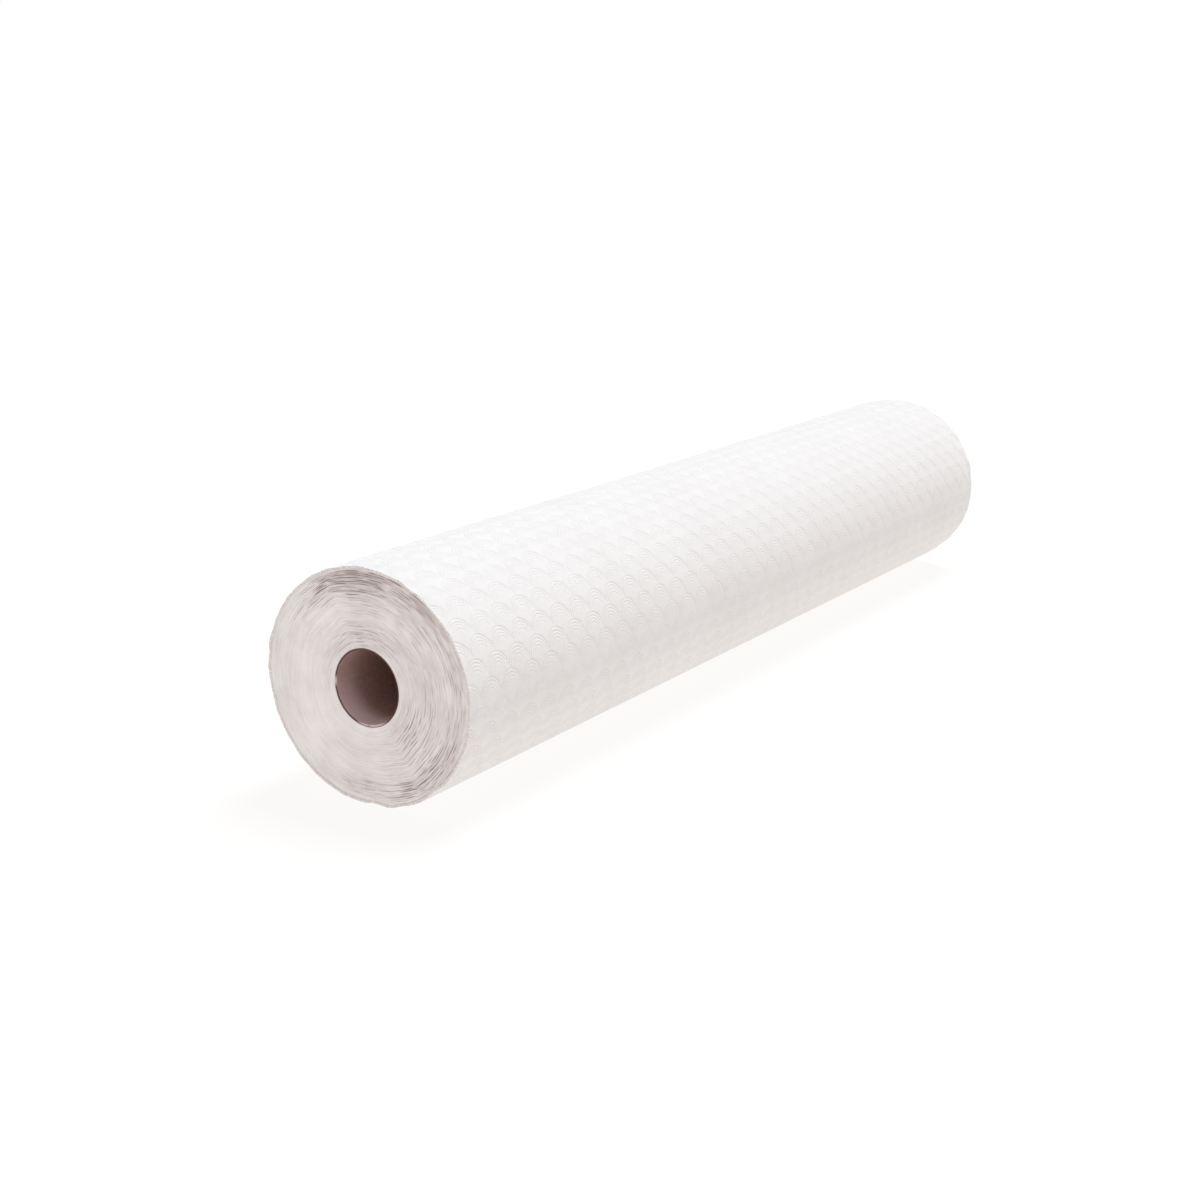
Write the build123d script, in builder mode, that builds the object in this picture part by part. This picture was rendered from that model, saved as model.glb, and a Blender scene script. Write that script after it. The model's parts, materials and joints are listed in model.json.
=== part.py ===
from build123d import *
from math import sqrt
import os

# A roll of embossed paper tablecloth web wound on a thin cardboard core, lying on its side.
# X runs along the roll, Z is up, and the origin is the middle of the flat that it rests on.
# All sizes are in millimetres.

# The roll as it lies
web_width = 1000
roll_across = 200
outer_sag_share = 0.032
flat_width = 36
tail_step = 0.8

# The core tube
core_bore = 60
core_wall = 1.5
core_recess = 1.5
winding_clearance = 0.1

# The turns that show in the two ends: one groove, wound from the core to the outside, parts
# the wound web into bands, each of some twenty turns. The shares say how the bands differ in
# width, from the core outwards, as a web does that was wound tighter and looser by turns.
groove_width = 1.2
groove_depth = 1.0
band_width_shares = (0.7, 0.8, 1.1, 0.9, 1.3, 1.0, 1.2, 0.9, 1.1, 0.9, 0.8)
outer_band_share = 0.9

roll_radius = roll_across / 2
core_radius = core_bore / 2 + core_wall
paper_bore_radius = core_radius + winding_clearance
wound_depth = roll_radius - paper_bore_radius
band_width = wound_depth / (sum(band_width_shares) + outer_band_share)


def sagged(radius):
    """The half height of a turn of this half width: round at the core, flatter further out."""
    return radius * (1 - outer_sag_share * (radius - core_radius) / (roll_radius - core_radius))


# The outermost turn is full width over the top, and comes down to the turn below it by the
# height of one step over its lower half, where the loose end of the web lies.
upper_half_height = sagged(roll_radius)
lower_half_width = roll_radius - tail_step / 2
lower_half_height = sagged(lower_half_width)
core_height = lower_half_height * sqrt(1 - (flat_width / 2 / lower_half_width) ** 2)

near_end = Plane(origin=(-web_width / 2, 0, core_height), x_dir=(0, 1, 0), z_dir=(1, 0, 0))
far_end = near_end.offset(web_width)

# Where the groove stands at each half turn: its distance from the roll's axis
groove_reach = [paper_bore_radius + band_width * band_width_shares[0] / 2]
for share in band_width_shares:
    half_turn = band_width * share / 2
    groove_reach.append(groove_reach[-1] + half_turn)
    groove_reach.append(groove_reach[-1] + half_turn)


def spiral_side(offset):
    """Draws one side of the groove, offset from its middle line, as half turns that widen."""
    for number, (start, end) in enumerate(zip(groove_reach, groove_reach[1:])):
        half_width = (start + end) / 2
        half_height = sagged(half_width)
        side = 1 if number % 2 == 0 else -1
        EllipticalCenterArc(
            center=(side * (start - end) / 2, 0),
            x_radius=half_width + offset,
            y_radius=half_height + offset,
            start_angle=0 if number % 2 == 0 else 180,
            arc_size=180,
        )


with BuildPart() as paper_roll:
    with BuildSketch(near_end):
        with BuildLine():
            over = EllipticalCenterArc(
                center=(0, 0), x_radius=roll_radius, y_radius=upper_half_height, arc_size=180
            )
            under = EllipticalCenterArc(
                center=(-tail_step / 2, 0),
                x_radius=lower_half_width,
                y_radius=lower_half_height,
                start_angle=180,
                arc_size=180,
            )
            Line(under @ 1, over @ 0)
        make_face()
        Circle(paper_bore_radius, mode=Mode.SUBTRACT)
    extrude(amount=web_width)
    split(bisect_by=Plane.XY, keep=Keep.TOP)
    for end, inward in ((near_end, groove_depth), (far_end, -groove_depth)):
        with BuildSketch(end):
            with BuildLine():
                spiral_side(groove_width / 2)
                spiral_side(-groove_width / 2)
                for place in (groove_reach[0], groove_reach[-1]):
                    Line((place - groove_width / 2, 0), (place + groove_width / 2, 0))
            make_face()
        extrude(amount=inward, mode=Mode.SUBTRACT)

with BuildPart() as core_tube:
    with BuildSketch(near_end.offset(core_recess)):
        Circle(core_radius)
        Circle(core_bore / 2, mode=Mode.SUBTRACT)
    extrude(amount=web_width - 2 * core_recess)

paper_roll.part.label = "paper_roll"
core_tube.part.label = "core_tube"

os.makedirs("parts", exist_ok=True)
export_step(paper_roll.part, "parts/paper_roll.step")
export_step(core_tube.part, "parts/core_tube.step")
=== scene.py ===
"""A roll of embossed paper tablecloth on its board core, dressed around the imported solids."""

import json
import logging
import math
from collections.abc import Callable
from dataclasses import dataclass
from enum import Enum
from functools import partial

import bpy
import numpy as np
from bpy.types import Material, Mesh, Node, NodeSocket, NodeTree, Object
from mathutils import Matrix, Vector
from mathutils.geometry import delaunay_2d_cdt


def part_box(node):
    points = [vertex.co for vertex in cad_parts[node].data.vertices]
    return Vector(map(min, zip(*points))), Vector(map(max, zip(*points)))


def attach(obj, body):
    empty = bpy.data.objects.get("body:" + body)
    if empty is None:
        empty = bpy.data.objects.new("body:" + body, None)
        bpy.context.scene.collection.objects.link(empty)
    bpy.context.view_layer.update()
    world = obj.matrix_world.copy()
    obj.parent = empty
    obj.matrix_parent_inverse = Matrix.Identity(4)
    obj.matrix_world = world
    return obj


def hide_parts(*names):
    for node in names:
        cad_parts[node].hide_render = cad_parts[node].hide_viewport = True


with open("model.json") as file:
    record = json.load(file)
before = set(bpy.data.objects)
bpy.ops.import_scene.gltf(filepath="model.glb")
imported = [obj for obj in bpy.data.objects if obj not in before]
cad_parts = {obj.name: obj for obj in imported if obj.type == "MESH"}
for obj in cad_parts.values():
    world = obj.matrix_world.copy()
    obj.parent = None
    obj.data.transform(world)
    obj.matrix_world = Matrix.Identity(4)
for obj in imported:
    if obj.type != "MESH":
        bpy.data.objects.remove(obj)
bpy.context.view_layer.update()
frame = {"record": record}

MM = 0.001
FULL_TURN = 2 * math.pi
LOG = logging.getLogger("tablecloth_roll")

# The kinds of node that are added most, and the socket for each type of value that a tree is given
MATH, VECTOR_MATH, MAP_RANGE = "ShaderNodeMath", "ShaderNodeVectorMath", "ShaderNodeMapRange"
NOISE, MIX = "ShaderNodeTexNoise", "ShaderNodeMix"
SOCKETS = {
    float: "NodeSocketFloat", int: "NodeSocketInt",
    Object: "NodeSocketObject", Material: "NodeSocketMaterial",
}

# The numbers of a colour mix's sockets: the colour at factor zero, the one at factor one, the result
UNDER, OVER, MIXED = 6, 7, 2


class RollEnd(Enum):
    """One of the two ends of the roll, with the side of X that it faces."""

    NEAR = -1
    FAR = 1


def linear(hex_colour: str) -> tuple[float, float, float, float]:
    """Turns an sRGB hex colour into linear light.

    Args:
        hex_colour: Six hex digits, such as "F2EEEA".

    Returns:
        Linear red, green and blue, and an alpha of one.
    """
    shares = (int(hex_colour[start:start + 2], 16) / 255 for start in (0, 2, 4))
    red, green, blue = (s / 12.92 if s <= 0.04045 else ((s + 0.055) / 1.055) ** 2.4 for s in shares)
    return red, green, blue, 1.0


def degrees_past(angle: np.ndarray, middle: float) -> np.ndarray:
    """How many degrees, from -180 to 180, angles in radians lie past a middle in degrees."""
    return (np.degrees(angle) - middle + 180) % 360 - 180


def feed(node: Node, inputs: dict | list | tuple) -> None:
    """Gives a node's inputs their values and links.

    Args:
        node: The node.
        inputs: What goes into the inputs, in their order or by name or number: each is a value, an
            output socket, or a node whose first output feeds the input.
    """
    for key, value in (inputs.items() if isinstance(inputs, dict) else enumerate(inputs)):
        source = value.outputs[0] if isinstance(value, Node) else value
        if isinstance(source, NodeSocket):
            node.id_data.links.new(source, node.inputs[key])
        else:
            node.inputs[key].default_value = source


def add_node(
    tree: NodeTree, kind: str, inputs: dict | list | tuple = (), operation: str = "", **settings: object
) -> Node:
    """Adds one node to a tree, with its settings, values and links.

    Args:
        tree: The shader or geometry tree that the node goes into.
        kind: Blender's type name of the node.
        inputs: What goes into the node's inputs, as feed() takes it.
        operation: What the node works out, where it knows several operations.
        **settings: The node's other properties.

    Returns:
        The new node.
    """
    node = tree.nodes.new(kind)
    if operation:
        node.operation = operation
    for name, value in settings.items():
        setattr(node, name, value)
    feed(node, inputs)
    return node


def new_object(name: str, data: bpy.types.ID) -> Object:
    """Makes an object at the origin and links it to the scene.

    Args:
        name: The object's name.
        data: Its mesh, curve, light or camera.

    Returns:
        The object.
    """
    made = bpy.data.objects.new(name, data)
    bpy.context.scene.collection.objects.link(made)
    return made


def new_mesh(name: str, points: np.ndarray, faces: list) -> Mesh:
    """Makes a mesh.

    Args:
        name: The mesh's name.
        points: X, Y and Z of each point, in metres.
        faces: The numbers of each face's points.

    Returns:
        The mesh.
    """
    mesh = bpy.data.meshes.new(name)
    mesh.from_pydata(points.tolist(), [], faces)
    mesh.update()
    return mesh


def store(mesh: Mesh, **values: np.ndarray) -> None:
    """Stores numbers on a mesh's points.

    Args:
        mesh: The mesh.
        **values: The numbers of each attribute, under its name.
    """
    for name, numbers in values.items():
        attribute = mesh.attributes.new(name, "FLOAT", "POINT")
        attribute.data.foreach_set("value", numbers.astype(np.float32))


def new_tree(
    name: str, values: dict
) -> tuple[NodeTree, Callable[..., Node], bpy.types.NodeOutputs, Node]:
    """Starts a geometry tree with a named input for each value that it will get.

    Args:
        name: The tree's name.
        values: For each named input, its value, whose type says what socket it needs.

    Returns:
        The tree, what adds a node to it, the sockets of its inputs and its output node.
    """
    tree = bpy.data.node_groups.new(name, "GeometryNodeTree")
    tree.interface.new_socket("Geometry", in_out="INPUT", socket_type="NodeSocketGeometry")
    for label, value in values.items():
        socket_type = next(SOCKETS[kind] for kind in SOCKETS if isinstance(value, kind))
        tree.interface.new_socket(label, in_out="INPUT", socket_type=socket_type)
    tree.interface.new_socket("Geometry", in_out="OUTPUT", socket_type="NodeSocketGeometry")
    given, result = tree.nodes.new("NodeGroupInput"), tree.nodes.new("NodeGroupOutput")
    return tree, partial(add_node, tree), given.outputs, result


def run_tree(piece: Object, tree: NodeTree, values: dict) -> None:
    """Runs a geometry tree on an object once and leaves the result as a plain mesh.

    Args:
        piece: The object whose mesh goes in.
        tree: The tree, whose inputs are named.
        values: For each named input, the value that it gets.
    """
    modifier = piece.modifiers.new(tree.name, "NODES")
    modifier.node_group = tree
    given = (item for item in tree.interface.items_tree if item.in_out == "INPUT")
    sockets = {item.name: item.identifier for item in given}
    for name, value in values.items():
        modifier[sockets[name]] = value
    bpy.context.view_layer.update()
    evaluated = piece.evaluated_get(bpy.context.evaluated_depsgraph_get())
    result = bpy.data.meshes.new_from_object(evaluated)
    piece.modifiers.remove(modifier)
    finish = next(material for material in result.materials if material)
    result.materials.clear()
    result.materials.append(finish)
    result.polygons.foreach_set("material_index", [0] * len(result.polygons))
    piece.data = result


def new_material(
    name: str, roughness: float, specular: float
) -> tuple[Material, Callable[..., Node], Node]:
    """Starts a material.

    Args:
        name: The material's name.
        roughness: How rough its surface is.
        specular: How strongly it reflects, where a half is usual.

    Returns:
        The material, what adds a node to its tree, and its Principled shader.
    """
    material = bpy.data.materials.new(name)
    material.use_nodes = True
    shader = material.node_tree.nodes["Principled BSDF"]
    feed(shader, {"Roughness": roughness, "Specular IOR Level": specular})
    return material, partial(add_node, material.node_tree), shader


@dataclass(frozen=True)
class RollForm:
    """The roll's measures in metres, as the frame gives them, and the curves that follow from them."""

    half_length: float
    half_width: float
    top: float
    core_height: float
    core_radius: float
    bore_radius: float
    core_half_length: float
    tail_step: float = 0.8 * MM
    flat_softness: float = 0.6 * MM

    @classmethod
    def from_frame(cls) -> "RollForm":
        """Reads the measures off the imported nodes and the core's mount.

        Returns:
            The form.
        """
        _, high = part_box("paper_roll")
        _, core_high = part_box("core_tube")
        bore = next(mount for mount in frame["record"]["mounts"] if mount["name"] == "core_bore")
        return cls(
            half_length=high.x,
            half_width=high.y,
            top=high.z,
            core_height=bore["pos_m"][2],
            core_radius=core_high.y,
            bore_radius=bore["dims"]["r_mm"] * MM,
            core_half_length=core_high.x,
        )

    def sagged(self, radius: float) -> float:
        """The half height of a turn, which is round at the core and flatter further out.

        Args:
            radius: The turn's half width.

        Returns:
            The half height.
        """
        outer_sag = 1 - (self.top - self.core_height) / self.half_width
        depth = self.half_width - self.core_radius
        return radius * (1 - outer_sag * (radius - self.core_radius) / depth)

    def outline(self, angle: np.ndarray, inset: float = 0.0) -> tuple[np.ndarray, np.ndarray]:
        """The section's outline, from the web's free edge over the top and round below to the step.

        Args:
            angle: Angles from +Y over +Z, from zero to a full turn.
            inset: How far inside the outline the points lie, in metres.

        Returns:
            The Y and Z of the points, in metres.
        """
        under = angle > math.pi
        lower_width = self.half_width - self.tail_step / 2
        width = np.where(under, lower_width, self.half_width) - inset
        height = np.where(under, self.sagged(lower_width), self.top - self.core_height) - inset
        across = np.where(under, -self.tail_step / 2, 0.0) + width * np.cos(angle)
        above = self.core_height + height * np.sin(angle) - inset
        resting = (above + np.sqrt(above ** 2 + self.flat_softness ** 2)) / 2
        return across, np.where(under, resting + inset, above + inset)


@dataclass(frozen=True)
class ScallopEmboss:
    """The rows of scallops that are pressed into the web, laid flat, in metres.

    Each scallop is half an ellipse that bulges up the web, and its ends meet the tops of the row
    below. A finer groove follows the scallop's edge inside it, and fades out at both of its feet.
    The mesh has its points on the grooves, with some to fill the space between them.
    """

    pitch: float
    row: float
    edge_groove: float = 0.23 * MM
    edge_half_width: float = 1.1 * MM
    pillow: float = 0.05 * MM
    pillow_reach: float = 2.6 * MM
    inner_groove: float = 0.18 * MM
    inner_half_width: float = 1.0 * MM
    inner_spacing: float = 2.5 * MM
    edge_steps: int = 12
    inner_steps: int = 9
    fade_start_share: float = 0.04
    fade_end_share: float = 0.36
    filler_share: float = 0.65
    closest: float = 0.4 * MM
    same_spot: float = 1e-7
    fill_shares: tuple[tuple[float, float], ...] = (
        (0.0, 0.0), (0.36, 0.08), (0.0, 0.42), (0.38, 0.40), (0.64, -0.92), (0.66, -0.55), (0.0, -0.45),
    )

    @property
    def mean_radius(self) -> float:
        """The mean of the scallop's half width and height, which turns distances into shares."""
        return (self.pitch / 2 + self.row) / 2

    @property
    def edge_share(self) -> float:
        """Half the width of the edge groove, as a share of the scallop's size."""
        return self.edge_half_width / self.mean_radius

    @property
    def crossing_share(self) -> float:
        """How far from a foot the groove's outer shoulder crosses a side or an end of the tile."""
        return math.sqrt((1 + self.edge_share) ** 2 - 1)

    def reach(self, along: np.ndarray, up: np.ndarray, row: np.ndarray) -> np.ndarray:
        """How far out from a row's nearest scallop each flat point lies.

        Args:
            along: Distance along the roll from the middle of a tile.
            up: Distance round the roll from the middle of a tile.
            row: The number of the row.

        Returns:
            The distances as shares of the scallop's size, so that its edge is one.
        """
        half = self.pitch / 2
        shift = np.where(row % 2 == 1, 0.0, half)
        off_centre = (along - shift + half) % self.pitch - half
        return np.hypot(off_centre / half, up / self.row - (row - 1))

    def relief(self, along: np.ndarray, up: np.ndarray) -> np.ndarray:
        """How far each flat point lies below the crest of the emboss, as a height of zero or less.

        Args:
            along: Distance along the roll from the middle of a tile.
            up: Distance round the roll from the middle of a tile.

        Returns:
            Heights in metres.
        """
        row = np.ceil(np.round(up / self.row, 6))
        own, below = self.reach(along, up, row), self.reach(along, up, row - 1)
        to_edge = np.minimum(np.abs(own - 1), np.abs(below - 1)) * self.mean_radius
        climb = up / self.row - (row - 1)
        fade_length = self.fade_end_share - self.fade_start_share
        fade = np.clip((climb - self.fade_start_share) / fade_length, 0, 1)
        to_inner = (1 - own) * self.mean_radius - self.inner_spacing
        inner = np.clip(1 - (to_inner / self.inner_half_width) ** 2, 0, 1) * fade
        edge = np.clip(1 - (to_edge / self.edge_half_width) ** 2, 0, 1)
        pillow = np.exp(-to_edge / self.pillow_reach)
        return -(self.edge_groove * edge + self.pillow * pillow + self.inner_groove * inner)

    def lines(self) -> list[tuple[float, int]]:
        """The lines that the mesh follows: the bottom and the two shoulders of each groove.

        Returns:
            For each line, its share of the scallop's size and its number of steps.
        """
        inner = 1 - self.inner_spacing / self.mean_radius
        inner_half = self.inner_half_width / self.mean_radius
        edges = (1.0, 1 - self.edge_share, 1 + self.edge_share)
        edge_lines = [(share, self.edge_steps) for share in edges]
        return edge_lines + [(inner + side * inner_half, self.inner_steps) for side in (0, 1, -1)]

    def side_marks(self) -> list[float]:
        """The places up a tile's two sides where its mesh has points, as the pattern meets them.

        Returns:
            Distances from the tile's middle, the lowest first.
        """
        tops = sorted(share - 1 for share, _ in self.lines())
        shares = [-1, -self.filler_share, *tops, self.crossing_share, self.filler_share, 1]
        return [share * self.row for share in shares]

    def end_marks(self) -> list[float]:
        """The places along a tile's top and bottom where its mesh has points.

        Returns:
            Distances from the tile's middle, from left to right.
        """
        right = [self.edge_share, self.crossing_share, self.filler_share, 1]
        return [share * self.pitch / 2 for share in [-s for s in reversed(right)] + [0.0] + right]

    def tile(self) -> Mesh:
        """Makes the flat tile of two scallops, with its points on the lines of the pattern.

        Returns:
            The tile's mesh, with its relief along Z.
        """
        half = self.pitch / 2
        points = [(side * half, mark) for mark in self.side_marks() for side in (-1, 1)]
        points += [(mark, side * self.row) for mark in self.end_marks()[1:-1] for side in (-1, 1)]
        for share, steps in self.lines():
            for centre, base in ((0.0, 0.0), (-half, -self.row), (half, -self.row)):
                for turn in np.linspace(0, math.pi, steps + 1):
                    x = centre + half * share * math.cos(turn)
                    y = base + self.row * share * math.sin(turn)
                    within = abs(x) < half - self.closest and abs(y) < self.row - self.closest
                    if within and min(math.dist((x, y), other) for other in points) > self.closest:
                        points.append((x, y))
        for x, y in self.fill_shares:
            points += [(side * x * half, y * self.row) for side in ((-1, 1) if x else (1,))]
        corners = [Vector(spot) for spot in points]
        flat, _, faces, *_ = delaunay_2d_cdt(corners, [], [], 0, self.same_spot)
        spots = np.array([tuple(spot) for spot in flat])
        raised = np.column_stack([spots, self.relief(spots[:, 0], spots[:, 1])])
        return new_mesh("scallop_tile", raised, [list(face) for face in faces])


@dataclass(frozen=True)
class EmbossedTissue:
    """Bleached crepe tissue, pressed between a steel and a rubber roll.

    It is matt and soft, and its fibres scatter light so evenly that only the pressed grooves and
    the faint crumple of the crepe give the eye anything to hold.
    """

    colour: str = "EEE9E7"
    shade: str = "E7E1DE"
    # The cut ends' colours are painted greyer, as painted shade between the plies
    cut_and_shade_colour: str = "EDE6E3"
    cut_shade: str = "CFC3BF"
    roughness: float = 0.95
    specular: float = 0.2
    sheen: float = 0.08
    sheen_roughness: float = 0.6
    inner_arcs: int = 3
    arc_breadth: float = 1.1
    arc_depth: float = 0.28 * MM
    crepe_pitch: float = 1.5 * MM
    crepe_length: float = 7.0 * MM
    crepe_depth: float = 0.30 * MM
    cloud_size: float = 60 * MM
    end_margin: float = 0.001

    def material(self, emboss: ScallopEmboss, last_pitch: float) -> Material:
        """Makes the material, with bump that sharpens the grooves and adds the innermost ones.

        Args:
            emboss: The pattern, whose map the piece carries in pitches and rows.
            last_pitch: What that map reads at the two cut ends of the web, in pitches.

        Returns:
            The material.
        """
        material, add, shader = new_material("embossed_crepe_tissue", self.roughness, self.specular)

        # How far inside its scallop each point lies, in groove spacings
        web = add("ShaderNodeUVMap", uv_map="UVMap")
        along, up, _ = add("ShaderNodeSeparateXYZ", (web,)).outputs
        climb = add(MATH, (up,), "FRACT")
        row = add(MATH, (up,), "FLOOR")
        shift = add(MATH, (row, 0.5), "MULTIPLY")
        shifted = add(MATH, (along, shift), "ADD")
        within = add(MATH, (shifted,), "FRACT")
        off_centre = add(MATH, (within, 2.0, -1.0), "MULTIPLY_ADD")
        spot = add("ShaderNodeCombineXYZ", (off_centre, climb))
        reach = add(VECTOR_MATH, (spot,), "LENGTH").outputs["Value"]
        spacing = emboss.inner_spacing / emboss.mean_radius
        number = add(MAP_RANGE, (reach, 1.0, 0.0, 0.0, 1 / spacing), clamp=False)
        nearest = add(MATH, (number,), "ROUND")

        # The arcs: a groove round each whole number, from the edge to the last that is kept
        off_line = add(MATH, (number, nearest), "SUBTRACT")
        off_line = add(MATH, (off_line,), "ABSOLUTE")
        groove_half = emboss.inner_half_width / emboss.inner_spacing * self.arc_breadth
        arcs = add(MAP_RANGE, (off_line, groove_half, 0.0, 0.0, 1.0), interpolation_type="SMOOTHSTEP")
        past_first = add(MATH, (nearest, -0.5), "GREATER_THAN")
        before_last = add(MATH, (nearest, self.inner_arcs + 0.5), "LESS_THAN")
        kept = add(MATH, (past_first, before_last), "MULTIPLY")
        fade = add(MAP_RANGE, (climb, emboss.fade_start_share, emboss.fade_end_share))

        # The tops of the scallops in the row below, whose edge groove reaches into this row
        aside = add(MATH, (off_centre,), "ABSOLUTE")
        off_below = add(MATH, (1.0, aside), "SUBTRACT")
        climb_below = add(MATH, (climb, 1.0), "ADD")
        spot_below = add("ShaderNodeCombineXYZ", (off_below, climb_below))
        reach_below = add(VECTOR_MATH, (spot_below,), "LENGTH").outputs["Value"]
        top_groove = add(MAP_RANGE, (
            reach_below, 1.0, 1.0 + groove_half * spacing, 1.0, 0.0), interpolation_type="SMOOTHSTEP")
        for operation, other in (
            ("MULTIPLY", kept), ("MULTIPLY", fade),
            ("MAXIMUM", top_groove), ("MULTIPLY", -self.arc_depth),
        ):
            arcs = add(MATH, (arcs, other), operation)

        # The crepe's ridges, which run along the roll, as the blade left them across the web. They
        # are drawn coarser than their real half millimetre, so that they show from nearby.
        crepe_scale = (emboss.pitch / self.crepe_length, emboss.row / self.crepe_pitch, 1.0)
        crepe_spot = add(VECTOR_MATH, (web, crepe_scale), "MULTIPLY")
        crepe = add(NOISE, {"Vector": crepe_spot, "Scale": 1.0, "Detail": 3.0, "Roughness": 0.6})
        height = add(MATH, (crepe, self.crepe_depth, arcs), "MULTIPLY_ADD")
        bump = add("ShaderNodeBump", {"Strength": 1.0, "Distance": 1.0, "Height": height})

        ground = add("ShaderNodeTexCoord").outputs["Object"]
        clouds = add(NOISE, {
            "Vector": ground, "Scale": 1 / self.cloud_size, "Detail": 4.0, "Roughness": 0.55})

        # The cut ends are painted greyer in streaks, as painted shade where light goes in between the
        # plies
        from_middle = add(MATH, (along,), "ABSOLUTE")
        at_cut = add(MATH, (from_middle, last_pitch - self.end_margin), "GREATER_THAN")
        streaks = add(MAP_RANGE, (crepe, 0.3, 0.7))
        face, cut = (
            add(MIX, {"Factor": share, UNDER: linear(plain), OVER: linear(shade)}, data_type="RGBA")
            for share, plain, shade in (
                (clouds, self.colour, self.shade), (streaks, self.cut_and_shade_colour, self.cut_shade),
            )
        )
        trimmed = add(MIX, {
            "Factor": at_cut, UNDER: face.outputs[MIXED], OVER: cut.outputs[MIXED]}, data_type="RGBA")
        feed(shader, {
            "Base Color": trimmed.outputs[MIXED], "Normal": bump,
            "Sheen Weight": self.sheen, "Sheen Roughness": self.sheen_roughness,
        })
        return material


@dataclass(frozen=True)
class WoundEdges:
    """The cut edges of some two hundred and fifty turns of tissue, side by side.

    They are rougher and a little greyer than the web's face, because light goes in between the turns,
    and they run in fine streaks round the core. Their gaps and their slack parts are painted darker as
    painted shade.
    """

    colour: str = "F1EBE9"
    shade: str = "D3C7C4"
    # Painted shade in the gaps between the turns
    painted_gap_shade: str = "A18D87"
    roughness: float = 1.0
    specular: float = 0.1
    streak_turns: float = 0.7
    streak_length: float = 28 * MM
    streak_depth: float = 0.12 * MM
    tight_streaks_share: float = 0.35
    slack_streaks_share: float = 0.95
    patch_size: float = 34 * MM
    patch_share: float = 0.5
    # Painted shade where the winding is slack
    slack_painted_shade: float = 0.6

    def material(self) -> Material:
        """Makes the material, which reads the turn count, the gaps and the slack of the winding.

        Returns:
            The material.
        """
        material, add, shader = new_material("wound_tissue_edges", self.roughness, self.specular)
        travel, gap, loose = (
            add("ShaderNodeAttribute", attribute_name=name).outputs["Fac"]
            for name in ("travel", "gap", "loose")
        )
        ground = add("ShaderNodeTexCoord").outputs["Object"]
        along = add("ShaderNodeSeparateXYZ", (ground,))
        long_way = add(VECTOR_MATH, {0: ground, "Scale": 1 / self.streak_length}, "SCALE")
        _, beside, above = add("ShaderNodeSeparateXYZ", (long_way,)).outputs

        # Streaks: fast across the turns, slow along them. The real turns are a quarter of a
        # millimetre apart, which no camera at this distance parts, so several are drawn as one.
        across = add(MATH, (travel, 1 / self.streak_turns), "MULTIPLY")
        streak_spot = add("ShaderNodeCombineXYZ", (across, beside, above))
        streaks = add(NOISE, {
            "Vector": streak_spot, "W": along, "Scale": 1.0, "Detail": 3.0, "Roughness": 0.8,
        }, noise_dimensions="4D")
        patches = add(NOISE, {
            "Vector": ground, "Scale": 1 / self.patch_size, "Detail": 3.0, "Roughness": 0.6})

        # The share of the shade colour: random patches and streaks, stronger streaks and painted shade
        # where the winding is slack
        spread = add(MAP_RANGE, (streaks, 0.38, 0.62, -0.5, 0.5))
        more = add(MAP_RANGE, (loose, 0.0, 1.0, self.tight_streaks_share, self.slack_streaks_share))
        streaky = add(MATH, (spread, more), "MULTIPLY")
        patchy = add(MAP_RANGE, (patches, 0.3, 0.7, 0.0, self.patch_share))
        shade = add(MATH, (streaky, patchy), "ADD")
        shade = add(MATH, (loose, self.slack_painted_shade, shade), "MULTIPLY_ADD")
        # Painted shade in the gaps between the turns, darkest at their bottoms
        bottom = add(MAP_RANGE, (gap, 0.1, 0.9))
        colour = linear(self.colour)
        for share, laid_over in ((shade, self.shade), (bottom, self.painted_gap_shade)):
            mix = add(MIX, {"Factor": share, UNDER: colour, OVER: linear(laid_over)}, data_type="RGBA")
            colour = mix.outputs[MIXED]
        bump = add("ShaderNodeBump", {"Distance": self.streak_depth, "Height": streaks})
        feed(shader, {"Base Color": colour, "Normal": bump})
        return material


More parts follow.
